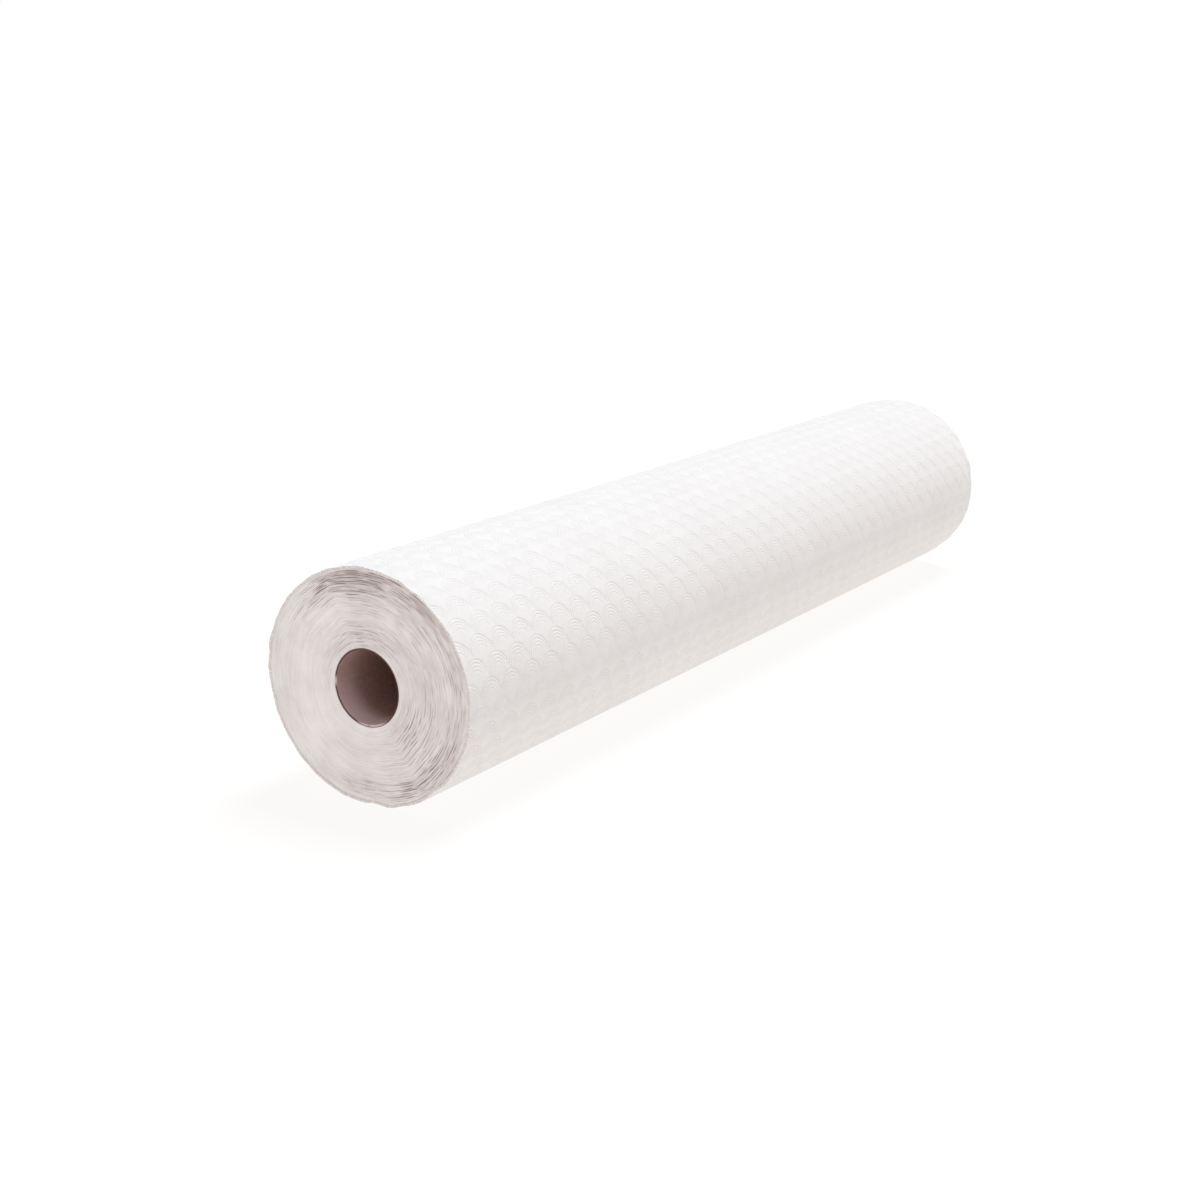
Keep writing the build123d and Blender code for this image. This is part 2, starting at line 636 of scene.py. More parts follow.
@dataclass(frozen=True)
class WoundBoard:
    """Grey-brown core board, wound of recycled plies at a slant and glued.

    It is matt, mottled with fibre, paler near the cut and more so on the lower side, partly from tissue
    dust and partly as painted light where light falls in through the open end. Its bare cut is darker,
    partly its own colour and partly painted shade, and it shows a fine seam where one ply meets the
    next.
    """

    colour: str = "BD998E"
    fibre_colour: str = "886860"
    # Paler colour near the cuts: partly tissue dust, partly painted light
    dust_and_light_colour: str = "DBBEC0"
    seam_colour: str = "54403A"
    # The bare cut's colour, darker partly as painted shade
    cut_and_shade_colour: str = "5E4640"
    torn_colour: str = "CDBDBA"
    roughness: float = 0.85
    specular: float = 0.25
    # Where the dust and painted light lie
    dust_and_light_reach: float = 33 * MM
    dust_and_light_full: float = 10 * MM
    dust_and_light_below_share: float = 0.9
    dust_and_light_above_share: float = 0.3
    upper_dust_and_light_share: float = 0.12
    fibre_size: float = 3 * MM
    fibre_depth: float = 0.3 * MM
    ply_lead: float = 105 * MM
    seam_width_share: float = 0.006
    seam_share: float = 0.55

    def material(self, form: RollForm) -> Material:
        """Makes the material.

        Args:
            form: The roll, whose ends say where the dust lies.

        Returns:
            The material.
        """
        material, add, shader = new_material("wound_core_board", self.roughness, self.specular)
        ground = add("ShaderNodeTexCoord").outputs["Object"]
        along, across, up = add("ShaderNodeSeparateXYZ", (ground,)).outputs
        fibres = add(NOISE, {
            "Vector": ground, "Scale": 1 / self.fibre_size, "Detail": 4.0, "Roughness": 0.65})

        # Dust and painted light near both cuts, more of both on the lower side, where light falls in on
        # the bore's floor
        from_middle = add(MATH, (along,), "ABSOLUTE")
        near_cut = add(MAP_RANGE, (
            from_middle, form.core_half_length - self.dust_and_light_reach,
            form.core_half_length - self.dust_and_light_full, 0.0, 1.0), interpolation_type="SMOOTHSTEP")
        low = add(MAP_RANGE, (
            up, form.core_height - form.bore_radius * self.dust_and_light_below_share,
            form.core_height + form.bore_radius * self.dust_and_light_above_share, 1.0, self.upper_dust_and_light_share))
        dust_and_light = add(MATH, (near_cut, low), "MULTIPLY")

        # The slanted seam between plies: a turn about the core for each lead along it
        above = add(MATH, (up, form.core_height), "SUBTRACT")
        angle = add(MATH, (above, across), "ARCTAN2")
        turn = add(MATH, (angle, FULL_TURN), "DIVIDE")
        wound = add(MATH, (along, 1 / self.ply_lead, turn), "MULTIPLY_ADD")
        phase = add(MATH, (wound, 0.5), "PINGPONG")
        seam = add(MAP_RANGE, (phase, 0.0, self.seam_width_share, self.seam_share, 0.0))

        # Each colour lies over those before it, last the bare cut, darker partly as painted shade in
        # its recess, and a sliver of torn white ply
        cut, torn = (
            add("ShaderNodeAttribute", attribute_name=name).outputs["Fac"] for name in ("cut", "torn")
        )
        colour = linear(self.colour)
        for share, laid_over in (
            (fibres, self.fibre_colour), (dust_and_light, self.dust_and_light_colour), (seam, self.seam_colour),
            (cut, self.cut_and_shade_colour), (torn, self.torn_colour),
        ):
            mix = add(MIX, {"Factor": share, UNDER: colour, OVER: linear(laid_over)}, data_type="RGBA")
            colour = mix.outputs[MIXED]
        bump = add("ShaderNodeBump", {"Distance": self.fibre_depth, "Height": fibres})
        feed(shader, {"Base Color": colour, "Normal": bump})
        return material


@dataclass
class OuterTurn:
    """The last turn of the web, embossed all over, from its free edge round to where it dives below."""

    form: RollForm
    finish: EmbossedTissue
    columns: int = 37
    tiles_round: int = 18
    thickness: float = 1.8 * MM
    outline_steps: int = 720
    ragged_edge: float = 1.0 * MM
    flare: float = 1.5 * MM
    flare_reach: float = 22 * MM
    wave: float = 0.4 * MM
    waves_a_metre: tuple[float, float, float] = (11.0, 70.0, 95.0)
    weld: float = 0.02 * MM
    end_margin: float = 0.1 * MM
    sharp_angle: float = 40
    seed: float = 4.0

    def section(self) -> tuple[Object, float]:
        """Makes the curve that the web follows round the roll.

        Returns:
            The curve's object and its length.
        """
        across, above = self.form.outline(np.linspace(0, FULL_TURN, self.outline_steps + 1))
        curve = bpy.data.curves.new("outer_turn_section", "CURVE")
        curve.dimensions = "3D"
        spline = curve.splines.new("POLY")
        spline.points.add(self.outline_steps)
        places = np.column_stack([np.zeros_like(across), across, above, np.ones_like(across)])
        spline.points.foreach_set("co", places.ravel())
        girth = float(np.hypot(np.diff(across), np.diff(above)).sum())
        return new_object("outer_turn_section", curve), girth

    def sleeve(self, emboss: ScallopEmboss) -> Mesh:
        """Makes the flat web's smooth inner side and its four edges, whose points meet the tiles'.

        Args:
            emboss: The pattern, which says where the tiles have points.

        Returns:
            A flat mesh that is open on the embossed side.
        """
        side, end = np.array(emboss.side_marks()), np.array(emboss.end_marks())
        half_length, half_girth = self.form.half_length, self.tiles_round * emboss.row
        rises = [-half_girth + (2 * tile + 1) * emboss.row + side for tile in range(self.tiles_round)]
        runs = [-half_length + (tile + 0.5) * emboss.pitch + end for tile in range(self.columns)]
        up = np.concatenate([rises[0][:1], *(rise[1:] for rise in rises)])
        along = np.concatenate([runs[0][:1], *(run[1:] for run in runs)])
        side_relief = emboss.relief(np.full_like(side, emboss.pitch / 2), side)
        end_relief = emboss.relief(end, np.full_like(end, emboss.row))
        up_relief = np.concatenate([side_relief[:1], np.tile(side_relief[1:], self.tiles_round)])
        along_relief = np.concatenate([end_relief[:1], np.tile(end_relief[1:], self.columns)])
        rows = []
        for x in (-half_length, half_length):
            for heights in (up_relief, np.full_like(up, -self.thickness)):
                rows.append(np.column_stack([np.full_like(up, x), up, heights]))
        for y in (-half_girth, half_girth):
            rows.append(np.column_stack([along, np.full_like(along, y), along_relief]))
        starts = np.cumsum([0] + [len(row) for row in rows])
        near_top, near_base, far_top, far_base, first, last = (int(start) for start in starts[:-1])
        faces = []
        for step in range(len(up) - 1):
            faces.append([near_top + step, near_top + step + 1, near_base + step + 1, near_base + step])
            faces.append([far_top + step, far_base + step, far_base + step + 1, far_top + step + 1])
            faces.append([near_base + step, near_base + step + 1, far_base + step + 1, far_base + step])
        faces.append([near_base, far_base] + list(reversed(range(first, first + len(along)))))
        corner = len(up) - 1
        faces.append(list(range(last, last + len(along))) + [far_base + corner, near_base + corner])
        return new_mesh("outer_turn", np.concatenate(rows), faces)

    def wrap_tree(self, values: dict) -> NodeTree:
        """Builds the tree that lays the tiles side by side and winds the web round the section.

        Args:
            values: For each named input, the value that it will get.

        Returns:
            The tree.
        """
        tree, add, want, result = new_tree("Wind embossed web", values)
        half_length, half_girth = want["Half length"], want["Half girth"]

        # The flat web: tiles on a grid, joined with the sleeve that came in
        tile = add("GeometryNodeObjectInfo", {"Object": want["Tile"]}).outputs["Geometry"]
        last_column = add(MATH, (want["Columns"], 1.0), "SUBTRACT")
        last_row = add(MATH, (want["Tiles round"], 1.0), "SUBTRACT")
        two_rows = add(MATH, (want["Row"], 2.0), "MULTIPLY")
        grid = add("GeometryNodeMeshGrid", {
            "Size X": add(MATH, (last_column, want["Pitch"]), "MULTIPLY"),
            "Size Y": add(MATH, (last_row, two_rows), "MULTIPLY"),
            "Vertices X": want["Columns"], "Vertices Y": want["Tiles round"],
        })
        tiles = add("GeometryNodeInstanceOnPoints", {"Points": grid, "Instance": tile})
        joined = add("GeometryNodeJoinGeometry", (add("GeometryNodeRealizeInstances", (tiles,)),))
        feed(joined, (want["Geometry"],))
        web = add("GeometryNodeMergeByDistance", {"Geometry": joined, "Distance": self.weld})

        # Where each point of the flat web lies, kept as its map in pitches and rows
        flat = add("ShaderNodeSeparateXYZ", (add("GeometryNodeInputPosition"),))
        along, round_way, relief = flat.outputs
        chart = add("ShaderNodeCombineXYZ", (
            add(MATH, (along, want["Pitch"]), "DIVIDE"),
            add(MATH, (round_way, want["Row"]), "DIVIDE"),
        ))
        mapped = add("GeometryNodeStoreNamedAttribute", {
            "Geometry": web, "Name": "UVMap", "Value": chart}, data_type="FLOAT2", domain="CORNER")

        # The same point on the section, and which way is out there
        first = add(MATH, (half_girth, -1.0), "MULTIPLY")
        share = add(MAP_RANGE, (round_way, first, half_girth, 1.0, 0.0))
        curve = add("GeometryNodeObjectInfo", {"Object": want["Section"]}).outputs["Geometry"]
        on_section = add("GeometryNodeSampleCurve", {"Curves": curve, "Factor": share}, mode="FACTOR")
        outward = add(VECTOR_MATH, (on_section.outputs["Tangent"], (1.0, 0.0, 0.0)), "CROSS_PRODUCT")
        lengthwise = add("ShaderNodeCombineXYZ", (along,))
        spot = add(VECTOR_MATH, (on_section.outputs["Position"], lengthwise), "ADD")

        # Slack waves all over, a slack rim near the ends, and ends that are trimmed unevenly. All
        # three only take away, so that the web stays inside the roll's outline.
        waves, rim_waves, trimming = (
            add(NOISE, {
                "Vector": spot, "W": want["Seed"], "Scale": scale, "Detail": 1.0,
            }, noise_dimensions="4D")
            for scale in self.waves_a_metre
        )
        from_middle = add(MATH, (along,), "ABSOLUTE")
        rim_start = add(MATH, (half_length, want["Flare reach"]), "SUBTRACT")
        rim = add(MAP_RANGE, (
            from_middle, rim_start, half_length, 0.0, 1.0), interpolation_type="SMOOTHSTEP")
        rim_depth = add(MATH, (rim, want["Flare"]), "MULTIPLY")
        rim_slack = add(MAP_RANGE, (rim_waves, 0.32, 0.68))
        slack = add(MATH, (waves, want["Wave"]), "MULTIPLY")
        dip = add(MATH, (rim_slack, rim_depth, slack), "MULTIPLY_ADD")
        height = add(MATH, (relief, dip), "SUBTRACT")
        very_end = add(MATH, (half_length, self.end_margin), "SUBTRACT")
        at_end = add(MATH, (from_middle, very_end), "GREATER_THAN")
        inward = trimming
        for factor in (want["Ragged edge"], at_end, add(MATH, (along,), "SIGN")):
            inward = add(MATH, (inward, factor), "MULTIPLY")

        raised = add(VECTOR_MATH, {0: outward, "Scale": height}, "SCALE")
        level = add(VECTOR_MATH, (spot, raised), "ADD")
        trimmed = add(VECTOR_MATH, (level, add("ShaderNodeCombineXYZ", (inward,))), "SUBTRACT")
        wound = add("GeometryNodeSetPosition", {"Geometry": mapped, "Position": trimmed})
        smooth = add("GeometryNodeSetShadeSmooth", {"Geometry": wound})
        real = add("GeometryNodeRealizeInstances", (smooth,))
        feed(result, (add("GeometryNodeSetMaterial", {"Geometry": real, "Material": want["Paper"]}),))
        return tree

    def build(self) -> Object:
        """Builds the embossed turn, hides the roll's imported solid and hangs the piece under the root
        body.

        Returns:
            The dressed piece.
        """
        section, girth = self.section()
        emboss = ScallopEmboss(
            pitch=2 * self.form.half_length / self.columns, row=girth / (2 * self.tiles_round))
        tile = new_object("scallop_tile", emboss.tile())
        piece = new_object("outer_turn", self.sleeve(emboss))
        values = {
            "Tile": tile, "Section": section, "Columns": self.columns, "Tiles round": self.tiles_round,
            "Half length": self.form.half_length, "Pitch": emboss.pitch, "Row": emboss.row,
            "Half girth": girth / 2, "Ragged edge": self.ragged_edge, "Flare": self.flare,
            "Flare reach": self.flare_reach, "Wave": self.wave, "Seed": self.seed,
            "Paper": self.finish.material(emboss, self.columns / 2),
        }
        run_tree(piece, self.wrap_tree(values), values)
        for helper in (tile, section):
            bpy.data.objects.remove(helper)
        piece.data.set_sharp_from_angle(angle=math.radians(self.sharp_angle))
        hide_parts("paper_roll")
        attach(piece, "root")
        return piece


@dataclass(frozen=True)
class SlackPatch:
    """A part of an end where the turns lie loosely, so that gaps open between them and the edges are
    painted darker as painted shade.

    Its middle lies at an angle in degrees, from +Y over +Z, and at a share of the way from the
    bore to the rim, and it fades out over the half sizes given in the same measures.
    """

    angle: float
    reach: float
    half_angle: float
    half_reach: float
    share: float

    def slack(self, angle: np.ndarray, reach: np.ndarray) -> np.ndarray:
        """How slack the winding is at each place.

        Args:
            angle: Angles from +Y over +Z.
            reach: Shares of the way from the bore to the rim.

        Returns:
            The slack, from zero to the patch's share.
        """
        off = degrees_past(angle, self.angle) / self.half_angle
        out = (reach - self.reach) / self.half_reach
        return self.share * np.exp(-off ** 2 - out ** 2)


# Where each end is slack: gaps open there, and the edges are painted darker as painted shade, which the
# broad patches spread over large parts of an end
SLACK_AND_SHADE = {
    RollEnd.NEAR: (
        SlackPatch(80, 0.15, 58, 0.18, 0.62), SlackPatch(214, 0.25, 24, 0.18, 0.6),
        SlackPatch(74, 0.80, 26, 0.12, 0.95), SlackPatch(112, 0.93, 34, 0.07, 0.75),
        SlackPatch(232, 0.86, 22, 0.15, 0.9), SlackPatch(178, 0.88, 36, 0.12, 0.45),
        SlackPatch(276, 0.80, 22, 0.12, 0.4), SlackPatch(150, 0.45, 40, 0.20, 0.2),
        SlackPatch(92, 0.80, 50, 0.30, 0.60), SlackPatch(185, 0.60, 50, 0.40, 0.30),
        SlackPatch(226, 0.60, 36, 0.36, 0.30),
    ),
    RollEnd.FAR: (
        SlackPatch(118, 0.16, 66, 0.20, 0.5), SlackPatch(322, 0.30, 28, 0.20, 0.5),
        SlackPatch(40, 0.84, 30, 0.12, 0.8), SlackPatch(246, 0.88, 26, 0.12, 0.9),
        SlackPatch(165, 0.70, 34, 0.16, 0.35),
    ),
}


@dataclass
class WoundTurns:
    """All turns below the last one, as one body whose two ends show the spiral of their edges.

    The real turns are too fine to part at this distance, so each one here stands for about eight.
    It has a gap, whose sides are less deep, and an edge beyond it that stands proud of the rest.
    """

    form: RollForm
    finish: WoundEdges
    columns: int = 300
    turns: int = 30
    rows_a_turn: int = 5
    inset: float = 2.1 * MM
    bore_clearance: float = 0.1 * MM
    snap: float = 0.07
    uneven_share: float = 0.32
    corners: tuple[float, ...] = (67, 237)
    corner_rise: float = 2.8 * MM
    corner_half_angle: float = 13
    gap_depth: float = 1.1 * MM
    gap_side_share: float = 0.3
    proud_share: float = 0.5
    tight_gap_share: float = 0.12
    base_inset: float = 0.5 * MM
    wave: float = 1.1 * MM
    waves_a_metre: float = 13.0
    stagger: float = 0.5 * MM
    wobble: float = 1.6 * MM
    sharp_angle: float = 55
    seed: int = 11

    def reach(self, travel: np.ndarray) -> np.ndarray:
        """The share of the way from bore to rim at a number of turns, which is uneven, as wound.

        Args:
            travel: Turns from the bore, from zero to all of them.

        Returns:
            The shares.
        """
        draw = np.random.default_rng(self.seed)
        widths = np.clip(draw.normal(1.0, self.uneven_share, self.turns), 0.5, 1.6)
        edges = np.concatenate([[0.0], np.cumsum(widths * np.linspace(0.8, 1.15, self.turns))])
        return np.interp(travel, np.arange(self.turns + 1), edges / edges[-1])

    def places(self, angle: np.ndarray, travel: np.ndarray) -> tuple[np.ndarray, np.ndarray]:
        """Where points of an end lie in its plane.

        Args:
            angle: Angles from +Y over +Z.
            travel: Turns from the bore, from zero to all of them.

        Returns:
            The Y and Z of the points.
        """
        share = self.reach(travel)
        last = np.clip(travel - (self.turns - 1), 0, 1)
        under_tail = self.form.tail_step * (1 - angle / FULL_TURN) * (1 - last)
        rim_y, rim_z = self.form.outline(angle, self.inset + under_tail)
        bore_radius = self.form.core_radius + self.bore_clearance
        bore_y = bore_radius * np.cos(angle)
        bore_z = self.form.core_height + bore_radius * np.sin(angle)
        length = np.hypot(rim_y - bore_y, rim_z - bore_z)
        rise = np.zeros_like(angle)
        for corner in self.corners:
            off = np.abs(degrees_past(angle, corner))
            rise += np.clip(1 - off / self.corner_half_angle, 0, 1) * self.corner_rise
        share = share + rise / length * 4 * share * (1 - share)
        return bore_y + (rim_y - bore_y) * share, bore_z + (rim_z - bore_z) * share

    def end_grid(self) -> tuple[np.ndarray, np.ndarray, np.ndarray, list]:
        """Lays the net of one end, whose rows follow the spiral.

        Returns:
            Angle, travel and groove share of each point, and the faces, as numbers of points. The
            first points are the bore's ring, and those after them the rim's.
        """
        columns, per_turn = self.columns, self.rows_a_turn
        numbers = {("bore", column): column for column in range(columns)}
        numbers.update({("rim", column): columns + column for column in range(columns)})
        angle = [FULL_TURN * column / columns for column in range(columns)] * 2
        travel = [0.0] * columns + [float(self.turns)] * columns
        groove = [0.0] * (2 * columns)

        # How deep the rows of a turn lie: the gap's bottom, its two sides and the proud edge
        side = self.gap_side_share
        depths = {0: 1.0, 1: side, 2: -self.proud_share, per_turn - 1: side}

        def point(row: int, column: int) -> int:
            """Finds the net's point at a row and column, and makes it when it is new.

            Args:
                row: Rows from the bore at the angle zero.
                column: Columns round from that angle.

            Returns:
                The point's number.
            """
            if column == columns:
                row, column = row + per_turn, 0
            gone = row / per_turn + column / columns - 1
            if gone < self.snap:
                return numbers["bore", column]
            if gone > self.turns - self.snap:
                return numbers["rim", column]
            if (row, column) not in numbers:
                numbers[row, column] = len(angle)
                angle.append(FULL_TURN * column / columns)
                travel.append(gone)
                groove.append(depths.get(row % per_turn, 0.0))
            return numbers[row, column]

        faces = []
        for row in range(per_turn * (self.turns + 1)):
            for column in range(columns):
                loop = (point(row, column), point(row + 1, column),
                        point(row + 1, column + 1), point(row, column + 1))
                face = list(dict.fromkeys(loop))
                if len(face) > 2:
                    faces.append(face)
        return np.array(angle), np.array(travel), np.array(groove), faces

    def blank(self) -> Mesh:
        """Makes the closed body with plain ends, whose points carry what the relief needs.

        Returns:
            The body's mesh.
        """
        angle, travel, groove, faces = self.end_grid()
        across, above = self.places(angle, travel)
        count, columns = len(angle), self.columns
        half = self.form.half_length
        points = np.concatenate([
            np.column_stack([np.full(count, side.value * half), across, above]) for side in RollEnd])
        all_faces = [face[::-1] for face in faces] + [[n + count for n in face] for face in faces]
        for ring, outward in ((0, False), (columns, True)):
            for column in range(columns):
                here, there = ring + column, ring + (column + 1) % columns
                wall = [here, there, there + count, here + count]
                all_faces.append(wall if outward else wall[::-1])
        mesh = new_mesh("wound_turns", points, all_faces)
        share = self.reach(travel)
        # The slack, which also says where the edges are painted darker as painted shade
        slack = [sum(patch.slack(angle, share) for patch in SLACK_AND_SHADE[side]) for side in RollEnd]
        store(
            mesh, travel=np.tile(travel, 2), groove=np.tile(groove, 2), reach=np.tile(share, 2),
            loose=np.clip(np.concatenate(slack), 0, 1),
        )
        return mesh

    def relief_tree(self, values: dict) -> NodeTree:
        """Builds the tree that opens the gaps, sets the turns unevenly and makes their lines wander.

        Args:
            values: For each named input, the value that it will get.

        Returns:
            The tree.
        """
        tree, add, want, result = new_tree("Set turn edges", values)
        travel, groove, reach, loose = (
            add("GeometryNodeInputNamedAttribute", {"Name": name}, data_type="FLOAT")
            for name in ("travel", "groove", "reach", "loose")
        )
        ground = add("GeometryNodeInputPosition")
        along, across, up = add("ShaderNodeSeparateXYZ", (ground,)).outputs
        end_seed = add(MATH, (along, 9.0, want["Seed"]), "MULTIPLY_ADD")

        # Noises that differ between the ends, and change fast across the turns and slowly along
        # them: how often in a turn's width, how often in a metre along it, and how much detail
        gaps, steps, drift = (
            add(NOISE, {
                "Vector": add("ShaderNodeCombineXYZ", [
                    add(MATH, (way, scale), "MULTIPLY")
                    for way, scale in ((travel, a_turn), (across, a_metre), (up, a_metre))
                ]),
                "W": end_seed, "Scale": 1.0, "Detail": detail,
            }, noise_dimensions="4D")
            for a_turn, a_metre, detail in ((1.3, 80.0, 1.0), (0.9, 30.0, 2.0), (0.3, 24.0, 2.0))
        )
        waves = add(NOISE, {
            "Vector": ground, "W": end_seed, "Scale": self.waves_a_metre, "Detail": 1.0,
        }, noise_dimensions="4D")

        # How open the gap is, and how deep
        opened = add(MAP_RANGE, (gaps, 0.40, 0.62))
        room = add(MATH, (loose, 1 - self.tight_gap_share, self.tight_gap_share), "MULTIPLY_ADD")
        ready = add(MATH, (opened, room), "MULTIPLY")
        gap = add(MATH, (ready, groove), "MULTIPLY")
        # The gap is kept for the edges' material, which paints shade into it
        marked = add("GeometryNodeStoreNamedAttribute", {
            "Geometry": want["Geometry"], "Name": "gap", "Value": gap,
        }, data_type="FLOAT", domain="POINT")

        # In from the end: base inset, wave, stagger of each band, and the gap
        depth = want["Base inset"]
        for share, most in ((waves, want["Wave"]), (steps, want["Stagger"]), (gap, want["Gap depth"])):
            depth = add(MATH, (share, most, depth), "MULTIPLY_ADD")
        side = add(MATH, (along,), "SIGN")
        inward = add(MATH, (depth, side), "MULTIPLY")
        new_along = add(MATH, (along, inward), "SUBTRACT")

        # Out from or in to the core, none at bore and rim
        axis = add("ShaderNodeCombineXYZ", {0: along, 2: want["Core height"]})
        radial = add(VECTOR_MATH, (ground, axis), "SUBTRACT")
        away = add(VECTOR_MATH, (radial,), "NORMALIZE")
        rest = add(MATH, (1.0, reach), "SUBTRACT")
        window = add(MATH, (reach, rest), "MULTIPLY")
        swing = add(MAP_RANGE, (drift, 0.25, 0.75, -2.0, 2.0))
        swung = add(MATH, (swing, window), "MULTIPLY")
        amount = add(MATH, (swung, want["Wobble"]), "MULTIPLY")
        shift = add(VECTOR_MATH, {0: away, "Scale": amount}, "SCALE")
        pushed = add(VECTOR_MATH, (ground, shift), "ADD")
        _, new_across, new_up = add("ShaderNodeSeparateXYZ", (pushed,)).outputs
        spot = add("ShaderNodeCombineXYZ", (new_along, new_across, new_up))

        moved = add("GeometryNodeSetPosition", {"Geometry": marked, "Position": spot})
        smooth = add("GeometryNodeSetShadeSmooth", {"Geometry": moved})
        real = add("GeometryNodeRealizeInstances", (smooth,))
        feed(result, (add("GeometryNodeSetMaterial", {"Geometry": real, "Material": want["Edges"]}),))
        return tree

    def build(self) -> Object:
        """Builds the wound body, hides the roll's imported solid and hangs the piece under the root
        body.

        Returns:
            The dressed piece.
        """
        piece = new_object("wound_turns", self.blank())
        values = {
            "Gap depth": self.gap_depth, "Base inset": self.base_inset, "Wave": self.wave,
            "Stagger": self.stagger, "Wobble": self.wobble, "Core height": self.form.core_height,
            "Seed": float(self.seed), "Edges": self.finish.material(),
        }
        run_tree(piece, self.relief_tree(values), values)
        piece.data.set_sharp_from_angle(angle=math.radians(self.sharp_angle))
        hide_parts("paper_roll")
        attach(piece, "root")
        return piece


@dataclass
class BoardCore:
    """The core tube, with its uneven cuts, a lifted inner ply and a torn sliver at the near end.

    The lifted ply covers most of the bare cut behind it.
    """

    form: RollForm
    finish: WoundBoard
    columns: int = 240
    depths_mm: tuple[float, ...] = (0.35, 0.9, 1.8, 3.2, 5.2, 8, 12, 18, 27, 40, 60, 90, 140, 220, 340)
    cut: float = 0.5 * MM
    waves: int = 24
    roughness: float = 0.6
    rim_round: float = 0.15 * MM
    lift: float = 0.7 * MM
    lift_reach: float = 7 * MM
    lift_angle: float = 262
    lift_half_angle: float = 30
    cover_half_angle: float = 26
    cover_peak: float = 1.4
    cover_share: float = 0.85
    torn_angle: float = 2
    torn_half_angle: float = 9
    torn_length: float = 1.6 * MM
    sharp_angle: float = 40
    seed: int = 5

    def wavy(self, angle: np.ndarray, draw: np.random.Generator) -> np.ndarray:
        """A smooth random line round the core.

        Args:
            angle: Angles from +Y over +Z.
            draw: Where the random numbers come from.

        Returns:
            Heights from zero to one.
        """
        total = np.zeros_like(angle)
        for wave in range(1, self.waves + 1):
            size = draw.normal() / wave ** self.roughness
            total += size * np.cos(wave * angle + draw.uniform(0, FULL_TURN))
        return (total - total.min()) / (total.max() - total.min())

    def build(self) -> Object:
        """Builds the tube as a closed ring of rows, hides the imported core and hangs the piece under
        the root body.

        Returns:
            The dressed piece.
        """
        draw = np.random.default_rng(self.seed)
        angle = np.linspace(0, FULL_TURN, self.columns, endpoint=False)
        half, outer, inner = self.form.core_half_length, self.form.core_radius, self.form.bore_radius
        middle, rim = (outer + inner) / 2, inner + self.rim_round
        near_cut, far_cut = (self.cut * self.wavy(angle, draw) for _ in RollEnd)
        near, far = -half + near_cut, half - far_cut
        past_lift = degrees_past(angle, self.lift_angle)
        lifted = np.clip(1 - (past_lift / self.lift_half_angle) ** 2, 0, 1) ** 2 * self.lift
        sliver = np.clip(1 - (degrees_past(angle, self.torn_angle) / self.torn_half_angle) ** 2, 0, 1)

        # Each row's place along the roll, its radius, and the share of the lift that it takes
        inward = np.array(self.depths_mm) * MM
        rows = [(far, outer, 0.0), (near, outer, 0.0), (near, middle, 0.0), (near, rim, 1.0)]
        for x in np.concatenate([-half + inward, half - inward[::-1]]):
            fall = math.exp(-((x + half) / self.lift_reach) ** 2)
            shift = near_cut if x < -half + self.cut else 0.0
            rows.append((np.full_like(angle, x) + shift, inner, fall))
        rows += [(far, rim, 0.0), (far, middle, 0.0)]

        points, torn, faces = [], [], []
        for number, (x, radius, fall) in enumerate(rows):
            reach = radius - lifted * fall
            up = self.form.core_height + reach * np.sin(angle)
            points.append(np.column_stack([x, reach * np.cos(angle), up]))
            torn.append(sliver * np.clip(1 - (x + half - near_cut) / self.torn_length, 0, 1))
            here, after = number * self.columns, (number + 1) % len(rows) * self.columns
            for column in range(self.columns):
                beside = (column + 1) % self.columns
                faces.append([here + column, after + column, after + beside, here + beside])
        mesh = new_mesh("board_core", np.concatenate(points), faces)

        # The board is bare outside and in both cuts, less so where the lifted ply leans over it. The
        # bare cut's darker colour is partly painted shade in the recessed cut.
        cut = np.zeros((len(rows), self.columns))
        cut[[0, 1, 2, 3, -1, -2]] = 1.0
        cover = np.clip(self.cover_peak - (past_lift / self.cover_half_angle) ** 2, 0, 1)
        cut[2:4] -= cover * self.cover_share
        store(mesh, torn=np.concatenate(torn), cut=cut.ravel())
        mesh.shade_smooth()
        mesh.set_sharp_from_angle(angle=math.radians(self.sharp_angle))
        mesh.materials.append(self.finish.material(self.form))
        piece = new_object("board_core", mesh)
        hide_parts("core_tube")
        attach(piece, "root")
        return piece


@dataclass(frozen=True)
class OpalTable:
    """An opal acrylic table, lit from below, so that it stays white and takes hardly a shadow."""

    colour: str = "626160"
    shade: str = "605F5E"
    glow_colour: str = "FFFEFD"
    glow: float = 0.88
    roughness: float = 0.7
    specular: float = 0.0
    mottle_size: float = 40 * MM

    def material(self) -> Material:
        """Makes the material.

        Returns:
            The material.
        """
        material, add, shader = new_material("opal_acrylic", self.roughness, self.specular)
        ground = add("ShaderNodeTexCoord").outputs["Object"]
        mottle = add(NOISE, {"Vector": ground, "Scale": 1 / self.mottle_size})
        tint = add(MIX, {
            "Factor": mottle, UNDER: linear(self.colour), OVER: linear(self.shade)}, data_type="RGBA")
        feed(shader, {
            "Base Color": tint.outputs[MIXED],
            "Emission Color": linear(self.glow_colour), "Emission Strength": self.glow,
        })
        return material


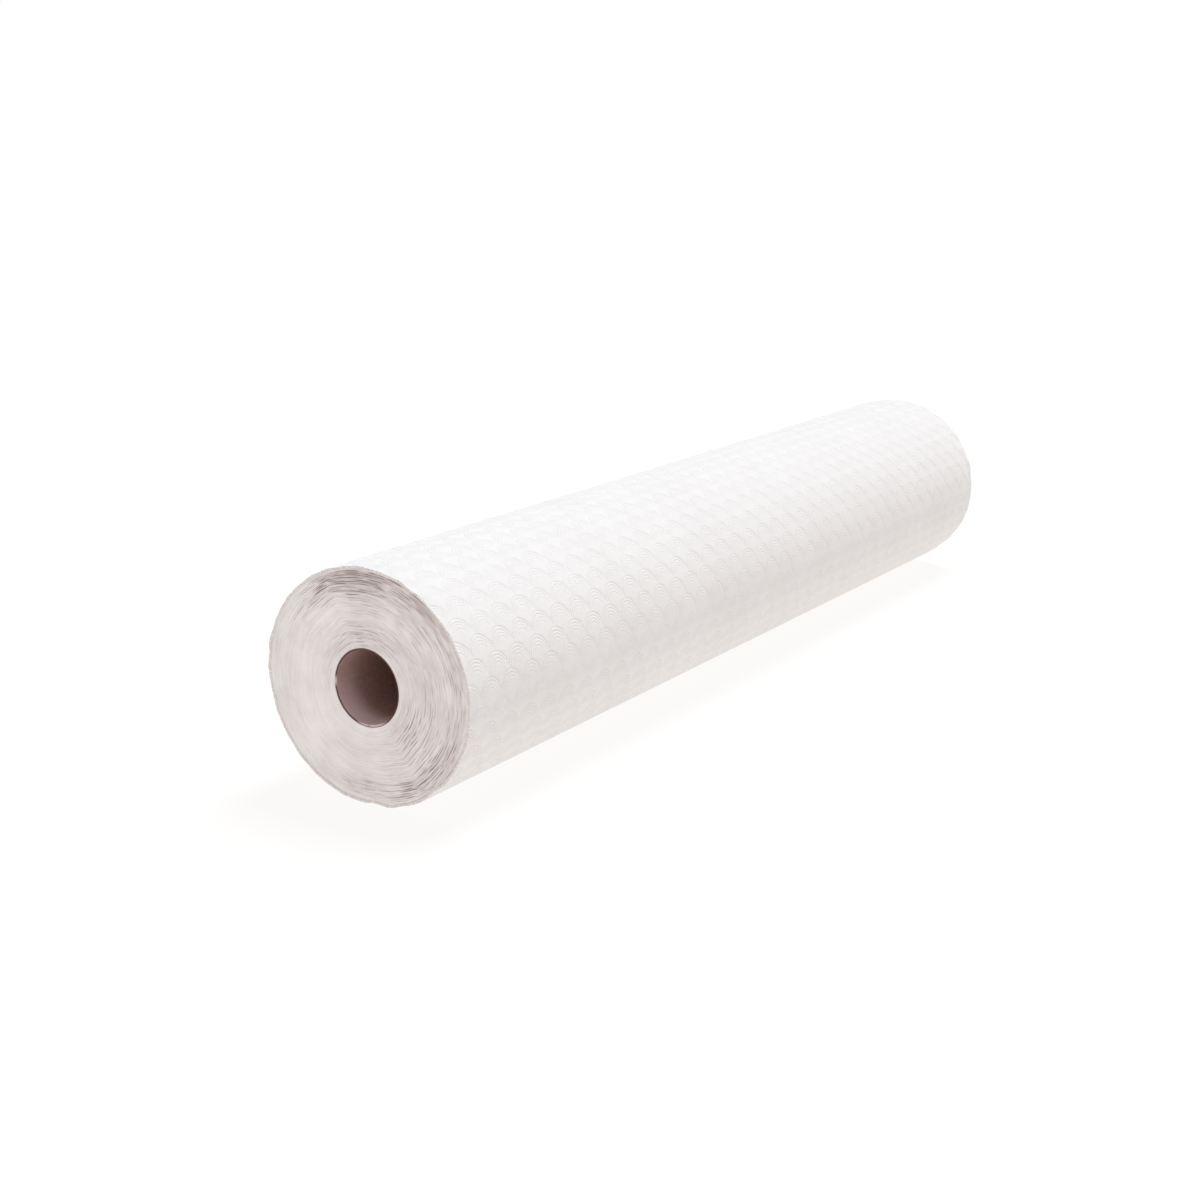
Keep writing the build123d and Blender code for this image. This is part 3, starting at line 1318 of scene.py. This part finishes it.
@dataclass
class Studio:
    """The white table, the light and the camera.

    The room is brightest at eye level, and its upper part is dimmer beyond the far end.
    """

    table: OpalTable
    table_half: float = 9.0
    room_colour: str = "FFFFFF"
    horizon: float = 1.01
    zenith: float = 0.58
    climb: tuple[float, float] = (0.05, 0.75)
    far_shade: float = 0.6
    far_climb: tuple[float, float] = (0.08, 0.3)
    sun_from: tuple[float, float, float] = (0.44, -0.02, 0.898)
    sun_colour: str = "EFF7FD"
    sun_strength: float = 2.62
    sun_spread: float = 24
    camera_place: tuple[float, float, float] = (-1.574022, -0.890295, 0.526122)
    heading: float = 32.230
    down_tilt: float = 14.623
    lens: float = 56.5
    sensor_width: float = 36
    clip_end: float = 60

    def lay_table(self) -> None:
        """Lays the table that the roll stands on."""
        half = self.table_half
        corners = np.array([(-half, -half, 0), (half, -half, 0), (half, half, 0), (-half, half, 0)])
        table = new_object("table_top", new_mesh("table_top", corners, [[0, 1, 2, 3]]))
        table.data.materials.append(self.table.material())

    def light(self) -> None:
        """Sets the room's own light, and a soft high key from the far end's side."""
        room = bpy.data.worlds.new("white_room")
        room.use_nodes = True
        add = partial(add_node, room.node_tree)
        x, _, z = add("ShaderNodeSeparateXYZ", (add("ShaderNodeTexCoord"),)).outputs
        level, lofty = (
            add(MAP_RANGE, (z, *climb, low, high), interpolation_type="SMOOTHSTEP")
            for climb, low, high in (
                (self.climb, self.horizon, self.zenith), (self.far_climb, 0.0, self.far_shade),
            )
        )
        far_side = add(MATH, (x, 0.0), "MAXIMUM")
        shaded = add(MATH, (far_side, lofty), "MULTIPLY")
        glow = add(MATH, (level, shaded), "SUBTRACT")
        feed(room.node_tree.nodes["Background"], {"Color": linear(self.room_colour), "Strength": glow})
        bpy.context.scene.world = room

        sun = bpy.data.lights.new("soft_key", "SUN")
        sun.energy = self.sun_strength
        sun.color = linear(self.sun_colour)[:3]
        sun.angle = math.radians(self.sun_spread)
        key = new_object("soft_key", sun)
        key.rotation_euler = Vector(self.sun_from).to_track_quat("Z", "Y").to_euler()

    def set_camera(self) -> None:
        """Puts the camera where the photograph was taken from."""
        camera = bpy.data.cameras.new("camera")
        camera.lens = self.lens
        camera.sensor_width = self.sensor_width
        camera.clip_end = self.clip_end
        camera.dof.use_dof = False
        view = new_object("camera", camera)
        view.location = self.camera_place
        view.rotation_euler = (math.radians(90 - self.down_tilt), 0.0, math.radians(self.heading - 90))
        bpy.context.scene.camera = view
        bpy.context.scene.view_settings.view_transform = "Standard"

    def build(self) -> None:
        """Builds the camera, the table and the lights."""
        self.set_camera()
        self.lay_table()
        self.light()


def main() -> None:
    """Builds the studio and the roll's pieces in order and reports each."""
    logging.basicConfig(level=logging.INFO, format="%(name)s: %(message)s")
    Studio(OpalTable()).build()
    form = RollForm.from_frame()
    for part in (
        OuterTurn(form, EmbossedTissue()),
        WoundTurns(form, WoundEdges()),
        BoardCore(form, WoundBoard()),
    ):
        piece = part.build()
        triangles = sum(len(face.vertices) - 2 for face in piece.data.polygons)
        LOG.info("%s: %d triangles, dressed in %s", piece.name, triangles, piece.data.materials[0].name)


if __name__ == "__main__":
    main()
